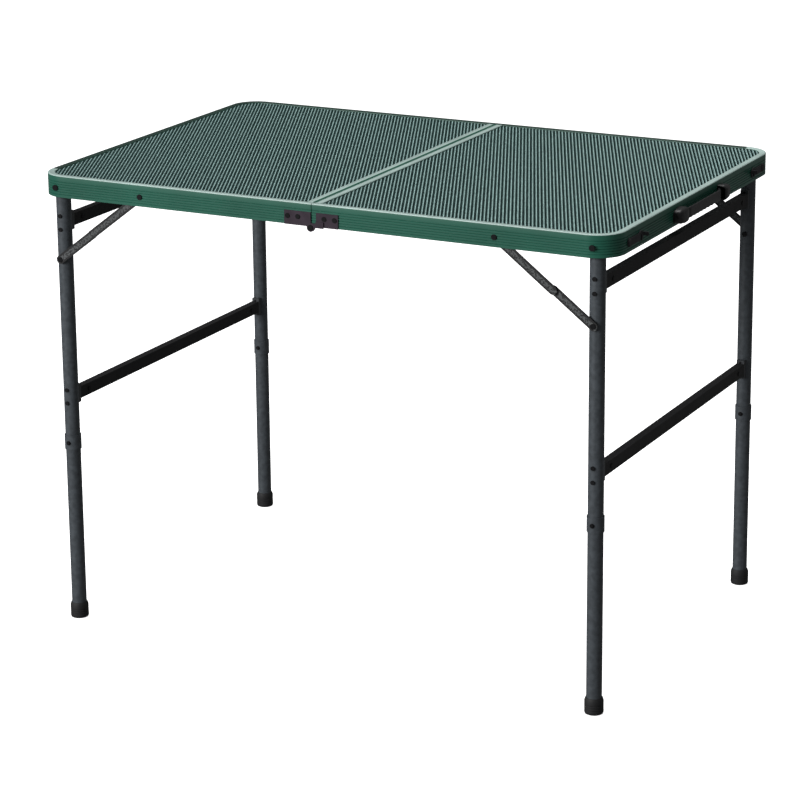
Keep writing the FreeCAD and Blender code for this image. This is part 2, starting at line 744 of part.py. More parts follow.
def lower_brace_link(name, side, face):
    outward = FACES[face]
    start = f"-{LINK_B_IN} + brace_head_height" if outward < 0 else LINK_B_OUT
    body = new_body(f"{name}_lower_brace_link_{face}", at(side, BRACE_AT), start, PIVOT_Z, FRONTAL)
    lift = "brace_head_height" if outward < 0 else "0"
    link_outline(body, side, UPPER_LINK, BRACE_SPAN, "lower_link_width", lift)
    boss = new_sketch(body, lift="0" if outward < 0 else "link_thick")
    circle(boss, "brace_head_radius", f"{side} * ({UPPER_LINK} * {LINE_X})", f"-({UPPER_LINK} * {LINE_Z})")
    pad(body, boss, "brace_head_height")
    hole = new_sketch(body)
    circle(hole, "brace_pin_radius + fit_clear", f"{side} * brace_reach", "-brace_drop")
    pocket(body, hole, None, both_ways=True)
    return body


def brace_leg_pins(name, side):
    """Rivets right through each leg tube that carry the lower links on its outer side."""
    pins = []
    head = f"({LINK_B_OUT} + fit_clear)"
    for face, outward in FACES.items():
        steps = [
            (f"({LEG_BACK} - fit_clear - head_height)", f"({LEG_BACK} - fit_clear)", "brace_head_radius"),
            (f"({LEG_BACK} - fit_clear)", head, "brace_pin_radius"),
            (f"({LEG_FACE} + fit_clear)", f"({LINK_B_IN} - fit_clear)", "brace_head_radius"),
            (head, f"({head} + brace_head_height)", "brace_head_radius"),
        ]
        z = f"{PIVOT_Z} - brace_drop"
        pins.append(turned(f"{name}_brace_leg_pin_{face}", at(side, LEG_AT), z, steps, outward))
    return group(f"{name}_brace_leg_pins", pins)


# The extension legs


def extension_tube(name, side, face):
    """A tube with a shouldered, reduced neck that plugs into the leg tube."""
    outward = FACES[face]
    body = new_body(f"{name}_{face}_extension_tube", at(side, LEG_AT), f"{outward} * {LEG_OUT}", "foot_floor")
    shoulder = f"({SPLIT_Z} - foot_floor)"
    step = f"({shoulder} - 3 * leg_wall)"
    bore, neck_bore = "leg_radius - leg_wall", f"{NECK_RADIUS} - leg_wall"
    profile = new_sketch(body, "XZ_Plane")
    outline(
        profile,
        [
            (bore, "0"),
            ("leg_radius", "0"),
            ("leg_radius", shoulder),
            (NECK_RADIUS, shoulder),
            (NECK_RADIUS, f"{shoulder} + neck_length"),
            (neck_bore, f"{shoulder} + neck_length"),
            (neck_bore, step),
            (bore, step),
        ],
    )
    revolve(body, profile)
    button_hole(body, "button_radius + button_clear", f"{shoulder} + ferrule_height / 2")
    return body


def rubber_foot(name, side, face):
    outward = FACES[face]
    body = new_body(f"{name}_{face}_foot", at(side, LEG_AT), f"{outward} * {LEG_OUT}", "0")
    profile = new_sketch(body, "XZ_Plane")
    socket, bevel = "(leg_radius + fit_clear)", "(foot_height / 12)"
    outer = "(leg_radius + foot_wall)"
    outline(
        profile,
        [
            ("0", "0"),
            (f"{outer} - {bevel}", "0"),
            (outer, bevel),
            (outer, f"foot_height - {bevel}"),
            (f"{outer} - {bevel} / 2", "foot_height"),
            (socket, "foot_height"),
            (socket, "foot_floor"),
            ("0", "foot_floor"),
        ],
    )
    revolve(body, profile)
    return body


def push_button(name, side, face):
    """A round button with a bevelled end, guided in the ferrule and the tube wall."""
    outward = FACES[face]
    inner = f"({NECK_RADIUS} + button_clear)"
    outer = f"({FERRULE_RADIUS} + button_proud)"
    body = new_body(
        f"{name}_{face}_button", at(side, LEG_AT), f"{outward} * {LEG_OUT} - {inner}", BUTTON_Z, FRONTAL
    )
    profile = new_sketch(body, "XZ_Plane")
    bevel = "(button_proud / 2)"
    length = f"({outer} - {inner})"
    outline(
        profile,
        [
            ("0", "0"),
            ("button_radius", "0"),
            ("button_radius", f"{length} - {bevel}"),
            (f"button_radius - {bevel}", length),
            ("0", length),
        ],
    )
    revolve(body, profile)
    return body


# The latches on the right end face and their keepers on the left one


def latch_lever(face):
    """A hook plate with a notch for the keeper and a thumb tab; it lies along the rim at rest."""
    inward = -FACES[face]
    body = new_body(
        f"latch_lever_{face}",
        f"{at(1, HALF)} + latch_gap",
        f"{-inward} * latch_place",
        PIVOT_Z,
        ENDWISE,
    )
    plate = new_sketch(body)
    rectangle(plate, "0", f"{inward} * latch_length", "-latch_width / 2", "latch_width / 2")
    pad(body, plate, "latch_thick")
    boss = new_sketch(body)
    circle(boss, "latch_width * 0.6")
    pad(body, boss, "latch_thick")
    hook = new_sketch(body)
    circle(hook, "latch_width * 0.75", f"{inward} * latch_length")
    pad(body, hook, "latch_thick")
    tip = "(latch_length + latch_width * 0.75)"
    ledge = new_sketch(body)
    rectangle(ledge, f"{inward} * latch_length", f"{inward} * {tip}", "0", "latch_width / 2")
    pad(body, ledge, "latch_thick")
    tab = new_sketch(body)
    rectangle(tab, f"{inward} * ({tip} - latch_thick)", f"{inward} * {tip}", "0", "latch_width / 2")
    pad(body, tab, "latch_thick + tab_height")
    hole = new_sketch(body)
    circle(hole, "latch_pin_radius + fit_clear")
    circle(hole, "latch_pin_radius + seat_gap", f"{inward} * latch_length", "0")
    pocket(body, hole, None, both_ways=True)
    notch = new_sketch(body)
    half = "(latch_pin_radius + seat_gap)"
    rectangle(
        notch,
        f"{inward} * (latch_length - {half})",
        f"{inward} * (latch_length + {half})",
        "-latch_width",
        "0",
    )
    pocket(body, notch, None, both_ways=True)
    return body


def studs(name, side, steps):
    """One stud at each latch place on an end face; steps are (from, to, radius) off the face."""
    made = []
    for face, outward in FACES.items():
        parts = []
        for number, (near, far, radius) in enumerate(steps):
            start = near if side > 0 else far
            x = f"{at(side, HALF)} + {side} * ({start})"
            parts.append(
                cylinder(
                    f"{name}_{face}_step{number}",
                    (x, f"{outward} * latch_place", PIVOT_Z),
                    radius,
                    f"{far} - ({near})",
                    "X",
                )
            )
        made.append(fuse(f"{name}_{face}", parts))
    return group(name, made)


def latch_pivots():
    head = "(latch_gap + latch_thick + fit_clear)"
    return studs(
        "latch_pivots",
        1,
        [
            ("-rim_wall - rivet_head_height", "-rim_wall", "rivet_head_radius"),
            ("-rim_wall", head, "latch_pin_radius"),
            (head, f"{head} + rivet_head_height", "latch_head_radius"),
        ],
    )


def latch_keepers():
    return studs(
        "latch_keepers",
        -1,
        [
            ("-rim_wall - rivet_head_height", "-rim_wall", "rivet_head_radius"),
            ("-rim_wall", "keeper_proud - rivet_head_height", "latch_pin_radius"),
            ("keeper_proud - rivet_head_height", "keeper_proud", "rivet_head_radius"),
        ],
    )


# The carrying handle: two blocks and a bowed grip whose ends slide in them

BLOCK_SOLID = "(block_length / 3)"
BLOCK_SCREW = f"(handle_length / 2 - {BLOCK_SOLID} / 2)"


def handle_mounts():
    made = []
    x = at(1, HALF)
    for face, outward in FACES.items():
        near = "(handle_length / 2 - block_length)"
        y = near if outward > 0 else "-handle_length / 2"
        label = f"handle_mount_{face}"
        block = box(
            f"{label}_block",
            (x, y, f"{PIVOT_Z} - block_height / 2"),
            ("handle_proud", "block_length", "block_height"),
        )
        deep = f"(block_length - {BLOCK_SOLID})"
        tall = "(grip_height + 2 * grip_clear)"
        pocket_y = f"{near} - 1" if outward > 0 else f"-(handle_length / 2 - {BLOCK_SOLID})"
        room = box(
            f"{label}_pocket",
            (f"{x} + tongue_stand - grip_clear", pocket_y, f"{PIVOT_Z} - {tall} / 2"),
            ("handle_proud - block_wall - tongue_stand + grip_clear", f"{deep} + 1", tall),
        )
        screw = cylinder(
            f"{label}_screw_hole",
            (f"{x} - 1", f"{outward} * {BLOCK_SCREW}", PIVOT_Z),
            "screw_radius",
            "handle_proud - block_wall + 1",
            "X",
        )
        made.append(cut(label, block, fuse(f"{label}_tools", [room, screw])))
    return group("handle_mounts", made)


def handle_screws():
    """Screws from inside the end wall into the blocks."""
    made = []
    for face, outward in FACES.items():
        y = f"{outward} * {BLOCK_SCREW}"
        head = cylinder(
            f"handle_screw_{face}_head",
            (f"{at(1, HALF)} - rim_wall - rivet_head_height", y, PIVOT_Z),
            "rivet_head_radius",
            "rivet_head_height",
            "X",
        )
        shank = cylinder(
            f"handle_screw_{face}_shank",
            (f"{at(1, HALF)} - rim_wall", y, PIVOT_Z),
            "screw_radius",
            "rim_wall + handle_proud - block_wall",
            "X",
        )
        made.append(fuse(f"handle_screw_{face}", [head, shank]))
    return group("handle_screws", made)


def handle_grip():
    body = new_body("handle_grip", at(1, HALF), "0", f"{PIVOT_Z} - grip_height / 2")
    end = f"(handle_length / 2 - {BLOCK_SOLID} - grip_clear)"
    bend = "(handle_length / 2 - block_length)"
    flat = f"({bend} - 2 * grip_stand)"
    inner_end, outer_end = "tongue_stand", "(tongue_stand + grip_thick)"
    inner_grip, outer_grip = "grip_stand", "(grip_stand + grip_thick)"
    half = [(inner_end, end), (outer_end, end), (outer_end, bend), (outer_grip, flat)]
    back = [(inner_grip, flat), (inner_end, bend)]
    points = half + [(x, f"-{y}") for x, y in reversed(half)]
    points += [(x, f"-{y}") for x, y in reversed(back)] + back
    sketch = new_sketch(body)
    outline(sketch, points)
    pad(body, sketch, "grip_height")
    return body


# The assembly

nodes = []
for name, side in SIDES.items():
    nodes += [
        edge_frame(name, side),
        fold_rail(name, side),
        mesh_panel(name, side),
        centre_rib(name, side),
        frame_rivets(name, side),
        frame_pivots(name, side),
        ferrules(name, side),
        saddles(name, side),
        crossbar_fasteners(name, side),
        brace_leg_pins(name, side),
    ]
    nodes += [crossbar(name, side, level) for level in BARS]
    for face in FACES:
        nodes += [
            leg_tube(name, side, face),
            upper_brace_link(name, side, face),
            lower_brace_link(name, side, face),
            extension_tube(name, side, face),
            rubber_foot(name, side, face),
            push_button(name, side, face),
        ]
nodes.append(group("left_hinge_leaves", [left_leaf(face) for face in FACES]))
nodes.append(group("right_hinge_leaves", [right_leaf(face) for face in FACES]))
nodes.append(hinge_pins())
nodes += [latch_lever(face) for face in FACES]
nodes += [latch_pivots(), latch_keepers(), handle_mounts(), handle_screws(), handle_grip()]

doc.recompute()
for obj in doc.Objects:
    if "Invalid" in obj.State or "Error" in obj.State:
        raise RuntimeError(f"{obj.Label} did not compute: {obj.State}")
for node in nodes:
    if node.Shape.isNull() or not node.Shape.isValid() or not node.Shape.Solids:
        raise RuntimeError(f"{node.Label} has no valid solid")
for node in nodes:
    node.Shape.exportStep(f"parts/{node.Label}.step")
    print(node.Label, len(node.Shape.Solids), round(node.Shape.Volume, 1))
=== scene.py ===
"""Looks of a folding camp kitchen table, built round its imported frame."""

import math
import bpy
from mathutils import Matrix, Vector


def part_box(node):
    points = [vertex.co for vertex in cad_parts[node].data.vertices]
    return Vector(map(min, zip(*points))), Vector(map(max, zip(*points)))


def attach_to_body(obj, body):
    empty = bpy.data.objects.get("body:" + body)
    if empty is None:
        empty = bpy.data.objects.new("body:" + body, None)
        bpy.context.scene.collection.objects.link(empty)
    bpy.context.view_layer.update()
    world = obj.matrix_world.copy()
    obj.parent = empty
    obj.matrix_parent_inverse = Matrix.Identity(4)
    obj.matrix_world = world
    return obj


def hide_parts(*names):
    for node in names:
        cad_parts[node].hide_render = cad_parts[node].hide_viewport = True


bl_info = {
    "name": "Camp Kitchen Table",
    "version": (1, 0, 0),
    "blender": (4, 5, 0),
    "location": "View3D > Sidebar > Camp Table",
    "description": "Builds the rims, mesh, legs, hinges and handle of a folding camp table",
    "category": "Object",
}

import bmesh
import bpy
import numpy as np
from bpy.props import FloatProperty, FloatVectorProperty, IntProperty, PointerProperty
from mathutils import Vector

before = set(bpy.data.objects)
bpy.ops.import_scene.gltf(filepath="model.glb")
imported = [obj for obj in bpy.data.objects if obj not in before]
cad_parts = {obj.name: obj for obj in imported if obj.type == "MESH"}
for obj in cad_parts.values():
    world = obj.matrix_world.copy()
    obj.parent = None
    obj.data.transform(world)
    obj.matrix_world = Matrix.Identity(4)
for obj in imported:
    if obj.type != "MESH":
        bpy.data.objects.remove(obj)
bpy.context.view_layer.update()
SIDES = {"left": -1, "right": 1}
FACES = ("front", "back")
LIP_BAND = 0.0012  # how far below the top a face still counts as lip
LINK_HALF_WIDTH = 0.00625
PRESSED_HALF_WIDTH = 0.0033


# Sizes and colours that a user would change


def length(name, description, default):
    return FloatProperty(
        name=name,
        description=description,
        default=default,
        min=0.0,
        subtype="DISTANCE",
        unit="LENGTH",
        precision=4,
    )


def angle(name, description, degrees):
    return FloatProperty(
        name=name,
        description=description,
        default=math.radians(degrees),
        subtype="ANGLE",
        unit="ROTATION",
    )


def colour(name, description, default):
    return FloatVectorProperty(
        name=name,
        description=description,
        default=default,
        size=4,
        min=0.0,
        max=1.0,
        subtype="COLOR",
    )


class RimSizes(bpy.types.PropertyGroup):
    corner: length("Corner radius", "Outer corners of the top", 0.040)
    wall: length("Wall", "Thickness of the rim's wall", 0.0016)
    lip: length("Lip", "Width of the lip over the mesh", 0.010)
    groove: length("Groove depth", "How deep the grooves between the ribs are", 0.0010)
    ribs: IntProperty(
        name="Ribs", description="Fine ribs along the outer face", default=6, min=1, max=12
    )


class MeshSizes(bpy.types.PropertyGroup):
    across: length("Pitch across", "Width of one diamond, along the table", 0.0055)
    along: length("Pitch along", "Length of one diamond, front to back", 0.0120)
    strand: length("Strand width", "Width of one strand", 0.0022)
    gauge: length("Gauge", "Thickness of the sheet", 0.0009)
    lay: angle("Lay", "Tilt of the upper strands", 28)
    tilt: angle("Tilt", "Tilt of the deep strands", 60)


class TableColours(bpy.types.PropertyGroup):
    green: colour("Rim green", "Paint of the rims", (0.016, 0.105, 0.070, 1))
    # Painted highlight: the front and right-end lips and the tops of the fold rails are coloured
    # pale, as if lit.
    painted_highlight_tone: colour("Lip green", "Painted highlight on the front and end lips and the fold rails", (0.36, 0.47, 0.44, 1))
    # Painted shade: the back and left-end lips are coloured dark, as if in shade.
    shade: colour("Painted lip shade", "Painted shade on the back and left lips", (0.007, 0.030, 0.021, 1))
    # The deep strands' own green, darkened further as painted shade for their recesses.
    mesh: colour("Mesh green", "Powder coat of the deep strands, darkened as painted shade", (0.019, 0.046, 0.043, 1))
    # Painted highlight: the upper strands are coloured pale, as if catching the light.
    edge: colour("Mesh edge", "Painted highlight on the upper strands", (0.33, 0.49, 0.47, 1))
    charcoal: colour("Charcoal", "Powder coat of legs and braces", (0.056, 0.065, 0.074, 1))
    pressed: colour("Pressed brace", "Specks along the braces", (0.085, 0.090, 0.092, 1))
    bars: colour("Bar black", "Powder coat of the crossbars", (0.010, 0.010, 0.011, 1))
    black: colour("Black", "Moulded handle, feet and hinge pins", (0.009, 0.009, 0.010, 1))
    steel: colour("Steel", "Rivets, screws and latches", (0.045, 0.045, 0.048, 1))
    hinge: colour("Hinge steel", "Dark plated hinge plates", (0.046, 0.035, 0.046, 1))
    nylon: colour("Saddle nylon", "Plugs at the crossbars' ends", (0.030, 0.034, 0.038, 1))


# Materials


def shader(name, rough, coat=0.0, coat_rough=0.2, specular=0.5):
    made = bpy.data.materials.new(name)
    made.use_nodes = True
    surface = made.node_tree.nodes["Principled BSDF"]
    surface.inputs["Roughness"].default_value = rough
    surface.inputs["Coat Weight"].default_value = coat
    surface.inputs["Coat Roughness"].default_value = coat_rough
    surface.inputs["Specular IOR Level"].default_value = specular
    return made, surface


def local_point(tree):
    return tree.nodes.new("ShaderNodeTexCoord").outputs["Object"]


def noise(tree, scale, detail=3.0, stretch=(1, 1, 1)):
    mapping = tree.nodes.new("ShaderNodeMapping")
    mapping.inputs["Scale"].default_value = stretch
    made = tree.nodes.new("ShaderNodeTexNoise")
    made.inputs["Scale"].default_value = scale
    made.inputs["Detail"].default_value = detail
    tree.links.new(local_point(tree), mapping.inputs["Vector"])
    tree.links.new(mapping.outputs["Vector"], made.inputs["Vector"])
    return made.outputs["Fac"]


def shades(tree, surface, fac, base, darker, lighter):
    ramp = tree.nodes.new("ShaderNodeValToRGB")
    ramp.color_ramp.elements[0].position = 0.35
    ramp.color_ramp.elements[1].position = 0.65
    ramp.color_ramp.elements[0].color = [c * darker for c in base[:3]] + [1]
    ramp.color_ramp.elements[1].color = [min(c * lighter, 1) for c in base[:3]] + [1]
    tree.links.new(fac, ramp.inputs["Fac"])
    tree.links.new(ramp.outputs["Color"], surface.inputs["Base Color"])


def uneven_gloss(tree, surface, fac, low, high):
    spread = tree.nodes.new("ShaderNodeMapRange")
    spread.inputs["To Min"].default_value = low
    spread.inputs["To Max"].default_value = high
    tree.links.new(fac, spread.inputs["Value"])
    tree.links.new(spread.outputs["Result"], surface.inputs["Roughness"])


def relief(tree, surface, fac, strength, distance):
    bump = tree.nodes.new("ShaderNodeBump")
    bump.inputs["Strength"].default_value = strength
    bump.inputs["Distance"].default_value = distance
    tree.links.new(fac, bump.inputs["Height"])
    tree.links.new(bump.outputs["Normal"], surface.inputs["Normal"])


def satin_paint(name, base):
    """Satin paint on an extrusion: faint drawing lines and slow changes of tone."""
    made, surface = shader(name, 0.42, coat=0.08, coat_rough=0.3, specular=0.35)
    tree = made.node_tree
    shades(tree, surface, noise(tree, 9.0), base, 0.9, 1.12)
    uneven_gloss(tree, surface, noise(tree, 60.0), 0.33, 0.46)
    relief(tree, surface, noise(tree, 900.0, 2.0), 0.12, 0.0002)
    return made


def powder_coat(name, base, low=0.42, high=0.58, specular=0.35):
    """Powder coat: fine orange peel and small specks of tone."""
    made, surface = shader(name, 0.5, specular=specular)
    tree = made.node_tree
    shades(tree, surface, noise(tree, 140.0, 5.0), base, 0.82, 1.2)
    uneven_gloss(tree, surface, noise(tree, 35.0), low, high)
    relief(tree, surface, noise(tree, 1400.0, 2.0), 0.25, 0.0003)
    return made


def plated_steel(name, base, rough=0.55):
    """Plated steel with a fine brushed grain."""
    made, surface = shader(name, rough, specular=0.08)
    tree = made.node_tree
    shades(tree, surface, noise(tree, 45.0, 4.0), base, 0.85, 1.15)
    uneven_gloss(tree, surface, noise(tree, 500.0, 2.0, (1, 1, 12)), rough - 0.08, rough + 0.12)
    relief(tree, surface, noise(tree, 700.0, 2.0, (1, 1, 10)), 0.15, 0.0002)
    return made


def moulded(name, base, rough=0.5):
    """Moulded plastic or rubber with a spark-eroded grain."""
    made, surface = shader(name, rough, specular=0.45)
    tree = made.node_tree
    shades(tree, surface, noise(tree, 30.0), base, 0.88, 1.15)
    uneven_gloss(tree, surface, noise(tree, 90.0), rough - 0.06, rough + 0.08)
    grain = tree.nodes.new("ShaderNodeTexVoronoi")
    grain.inputs["Scale"].default_value = 1600.0
    tree.links.new(local_point(tree), grain.inputs["Vector"])
    relief(tree, surface, grain.outputs["Distance"], 0.2, 0.0003)
    return made


def brace_line():
    """Where the braces' common centre line runs: the fold's place, its normal and its offset."""
    low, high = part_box("right_upper_brace_link_front")
    leg_low, leg_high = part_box("right_lower_brace_link_front")
    fold = (low.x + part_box("left_upper_brace_link_front")[1].x) / 2
    half = LINK_HALF_WIDTH
    start = Vector((low.x - fold + half, high.z - half))
    end = Vector((leg_high.x - fold - half, leg_low.z + half))
    normal = Vector((start.y - end.y, end.x - start.x)).normalized()
    return (fold, normal.x, normal.y), normal.dot(start)


def pressed_brace(name, edge, middle, line, offset):
    """A channel's look: dark edges with a paler, pressed band along the line between its pivots."""
    made = powder_coat(name, edge)
    tree = made.node_tree
    surface = tree.nodes["Principled BSDF"]
    parts = tree.nodes.new("ShaderNodeSeparateXYZ")
    tree.links.new(local_point(tree), parts.inputs["Vector"])

    def step(operation, first, second):
        node = tree.nodes.new("ShaderNodeMath")
        node.operation = operation
        for socket, value in zip(node.inputs, (first, second)):
            if isinstance(value, float):
                socket.default_value = value
            else:
                tree.links.new(value, socket)
        return node.outputs["Value"]

    fold, normal_x, normal_z = line
    out = step("ABSOLUTE", step("SUBTRACT", parts.outputs["X"], fold), 0.0)
    height = step("MULTIPLY", parts.outputs["Z"], normal_z)
    from_line = step("ADD", step("MULTIPLY", out, normal_x), height)
    off = step("ABSOLUTE", step("SUBTRACT", from_line, offset), 0.0)
    inside = step("LESS_THAN", off, PRESSED_HALF_WIDTH)
    specks = step("GREATER_THAN", noise(tree, 420.0, 1.0), 0.47)
    mix = tree.nodes.new("ShaderNodeMix")
    mix.data_type = "RGBA"
    tree.links.new(step("MULTIPLY", inside, specks), mix.inputs["Factor"])
    tree.links.new(surface.inputs["Base Color"].links[0].from_socket, mix.inputs["A"])
    mix.inputs["B"].default_value = middle
    tree.links.new(mix.outputs["Result"], surface.inputs["Base Color"])
    return made


def paints():
    """The table's finishes, with painted highlights and painted shade on the lips and the mesh,
    made once and kept by name.
    """
    tones = bpy.context.scene.table_colours
    recipes = {
        "rim_green": (satin_paint, tones.green),
        "lip_green": (satin_paint, tones.painted_highlight_tone),
        "lip_shade": (satin_paint, tones.shade),
        "mesh_green": (powder_coat, tones.mesh, 0.6, 0.75, 0.1),
        "mesh_edge": (powder_coat, tones.edge, 0.5, 0.65, 0.2),
        "charcoal_coat": (powder_coat, tones.charcoal),
        "bar_black": (powder_coat, tones.bars, 0.5, 0.65, 0.2),
        "brace_coat": (pressed_brace, tones.bars, tones.pressed, *brace_line()),
        "black_nylon": (moulded, tones.black, 0.42),
        "black_rubber": (moulded, tones.black, 0.68),
        "saddle_nylon": (moulded, tones.nylon),
        "latch_plating": (plated_steel, tones.steel),
        "hinge_plating": (plated_steel, tones.hinge, 0.62),
        "dark_rivet": (plated_steel, tones.bars, 0.4),
    }
    for name, (make, *settings) in recipes.items():
        if name not in bpy.data.materials:
            make(name, *settings)
    return {name: bpy.data.materials[name] for name in recipes}


# Shapes


def add_piece(name, vertices, faces, materials, smooth=True):
    """A new mesh object from points and faces, in the row frame."""
    mesh = bpy.data.meshes.new(name)
    mesh.from_pydata(vertices, [], faces)
    mesh.validate()
    for made in materials:
        mesh.materials.append(made)
    if smooth:
        mesh.shade_smooth()
    piece = bpy.data.objects.new(name, mesh)
    bpy.context.scene.collection.objects.link(piece)
    return piece


def from_bmesh(name, shape, materials, sharp=math.radians(35)):
    """A new smooth mesh object from a bmesh, with its edges sharp past an angle."""
    mesh = bpy.data.meshes.new(name)
    bmesh.ops.recalc_face_normals(shape, faces=shape.faces)
    shape.to_mesh(mesh)
    shape.free()
    for made in materials:
        mesh.materials.append(made)
    mesh.shade_smooth()
    mesh.set_sharp_from_angle(angle=sharp)
    piece = bpy.data.objects.new(name, mesh)
    bpy.context.scene.collection.objects.link(piece)
    return piece


def attach(piece, body, nodes):
    """The piece rides on the body and stands for the CAD nodes, which are hidden."""
    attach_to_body(piece, body)
    if nodes:
        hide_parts(*nodes)
    return piece


def sweep(shape, stations, profile):
    """A closed profile of (inward, up) points carried along stations of (point, outward)."""
    rings = []
    for point, outward in stations:
        places = [point - outward * inward + Vector((0, 0, up)) for inward, up in profile]
        rings.append([shape.verts.new(place) for place in places])
    for a, b in zip(rings, rings[1:]):
        for i in range(len(profile)):
            j = (i + 1) % len(profile)
            shape.faces.new((a[i], a[j], b[j], b[i]))
    shape.faces.new(rings[0])
    shape.faces.new(rings[-1])
    return rings


def rim_stations(side, fold_x, end_x, depth, radius, steps=14):
    """Points on the rim's outer face, from the fold round the end and back to the fold."""
    made = []
    centre_x = end_x - side * radius
    for sign in (-1, 1):
        arc = []
        for i in range(steps + 1):
            turn = math.radians(90) * i / steps
            outward = Vector((side * math.sin(turn), sign * math.cos(turn), 0))
            arc.append((Vector((centre_x, sign * (depth - radius), 0)) + outward * radius, outward))
        straight = (Vector((fold_x, sign * depth, 0)), Vector((0, sign, 0)))
        made += [straight] + arc if sign < 0 else list(reversed([straight] + arc))
    return made


def rim_profile(bottom, top, wall, lip, ribs, groove):
    """The rim's section: a ribbed outer face, a rolled edge, the lip and the plain inside."""
    edge, plain_foot, plain_head, roll = 0.0003, 0.004, 0.0062, 0.0016
    points = [(wall, bottom), (edge, bottom), (0, bottom + edge)]
    low, high = bottom + plain_foot, top - plain_head
    pitch = (high - low) / ribs
    for i in range(ribs):
        foot = low + i * pitch
        for share, depth in ((0.02, 0), (0.1, 0.7), (0.2, 1), (0.3, 0.7), (0.38, 0)):
            points.append((depth * groove, foot + share * pitch))
    for i in range(7):
        turn = math.radians(90) * i / 6
        points.append((roll * (1 - math.cos(turn)), top - roll + roll * math.sin(turn)))
    bead, lip_drop, bend = 0.0032, 0.0004, 0.0006
    points += [(bead, top), (bead + bend, top - lip_drop), (lip - 0.0008, top - lip_drop)]
    points += [(lip - 0.0002, top - 0.0007), (lip, top - 0.001), (lip, top - wall)]
    points += [(wall + bend, top - wall), (wall, top - wall - bend)]
    return points


class CAMPTABLE_OT_rims(bpy.types.Operator):
    """Sweep the ribbed rim of each half"""

    bl_idname = "camptable.rims"
    bl_label = "Ribbed Rims"

    def execute(self, context):
        sizes, paint = context.scene.rim_sizes, paints()
        for name, side in SIDES.items():
            low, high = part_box(f"{name}_edge_frame")
            fold_x, end_x = (high.x, low.x) if side < 0 else (low.x, high.x)
            profile = rim_profile(low.z, high.z, sizes.wall, sizes.lip, sizes.ribs, sizes.groove)
            shape = bmesh.new()
            sweep(shape, rim_stations(side, fold_x, end_x, high.y, sizes.corner), profile)
            for face in shape.faces:
                place = face.calc_center_median()
                # Lip faces on the front and the right end take the pale painted highlight.
                painted_highlight_side = place.y < sizes.corner - high.y or place.x > end_x - sizes.corner > fold_x
                if place.z > high.z - LIP_BAND:
                    # Lip faces on the back and the left end take painted shade.
                    face.material_index = 1 if painted_highlight_side else 2
            finish = [paint["rim_green"], paint["lip_green"], paint["lip_shade"]]
            rim = from_bmesh(f"{name}_ribbed_rim", shape, finish)
            attach(rim, f"{name}_top", [f"{name}_edge_frame"])
        return {"FINISHED"}


class CAMPTABLE_OT_fold_rails(bpy.types.Operator):
    """Make the rails on both sides of the fold"""

    bl_idname = "camptable.fold_rails"
    bl_label = "Fold Rails"

    def execute(self, context):
        sizes, paint = context.scene.rim_sizes, paints()
        for name, side in SIDES.items():
            low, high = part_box(f"{name}_fold_rail")
            near, far = (high.x, low.x) if side < 0 else (low.x, high.x)
            wide, top, bottom, wall = abs(far - near), high.z, low.z, sizes.wall
            web_gap, shadow = 0.0001, 0.0022
            bend, bead, bead_foot, dip = 0.0006, 0.0024, 0.003, 0.0005
            web_top = top - wall - bend
            section = [(0, bottom), (0, web_top), (0, top - bend), (bend, top), (bead, top)]
            section += [(bead_foot, top - dip), (wide - bead_foot, top - dip), (wide - bead, top)]
            section += [(wide - 0.0008, top), (wide, top - 0.0008), (wide, top - wall)]
            section += [(wall, top - wall), (wall, web_top), (wall, bottom)]
            shape = bmesh.new()
            rail_lip = high.y - sizes.lip + sizes.wall
            inward = Vector((-side, 0, 0))
            stations = [(Vector((near, y, 0)), inward) for y in (-rail_lip, rail_lip)]
            for ring, sign in zip(sweep(shape, stations, section), (-1, 1)):
                for corner, (_, up) in zip(ring, section):
                    if up <= web_top:
                        corner.co.y = sign * (high.y - web_gap)
            for face in shape.faces:
                # Rail tops past the shadow band at the fold take the pale painted highlight; the
                # band keeps the rim green.
                place = face.calc_center_median()
                if place.z > top - LIP_BAND and abs(place.x - near) > shadow:
                    face.material_index = 1
            finish = [paint["rim_green"], paint["lip_green"]]
            rail = from_bmesh(f"{name}_rolled_fold_rail", shape, finish)
            attach(rail, f"{name}_top", [f"{name}_fold_rail"])
        return {"FINISHED"}


def inside_panel(x, y, low, high, side, radius):
    """Whether points lie inside the panel with its two rounded outer corners."""
    inside = (x > low.x) & (x < high.x) & (y > low.y) & (y < high.y)
    corner_x = (low.x + radius) if side < 0 else (high.x - radius)
    past = (x - corner_x) * side > 0
    over = np.abs(y) - (high.y - radius)
    return inside & ~(past & (over > 0) & ((x - corner_x) ** 2 + over**2 > radius**2))


def strand_lines(low, high, side, radius, sizes):
    """The strands' starts, ends and tilts, knot to knot, where both ends lie inside the panel."""
    columns = np.arange(math.ceil((high.x - low.x) / sizes.across) * 2 + 2)
    rows = np.arange(math.ceil((high.y - low.y) / sizes.along) * 2 + 2)
    column, row = np.meshgrid(columns, rows, indexing="ij")
    knots = (column + row) % 2 == 0
    x = low.x + column[knots] * sizes.across / 2
    y = low.y + row[knots] * sizes.along / 2
    here = inside_panel(x, y, low, high, side, radius)
    starts, ends, tilts = [], [], []
    for step, tilt in ((-1, sizes.lay), (1, sizes.tilt)):
        to_x, to_y = x + step * sizes.across / 2, y + sizes.along / 2
        keep = here & inside_panel(to_x, to_y, low, high, side, radius)
        starts.append(np.stack([x[keep], y[keep]], 1))
        ends.append(np.stack([to_x[keep], to_y[keep]], 1))
        tilts += [tilt] * int(keep.sum())
    return np.concatenate(starts), np.concatenate(ends), np.array(tilts)[:, None]


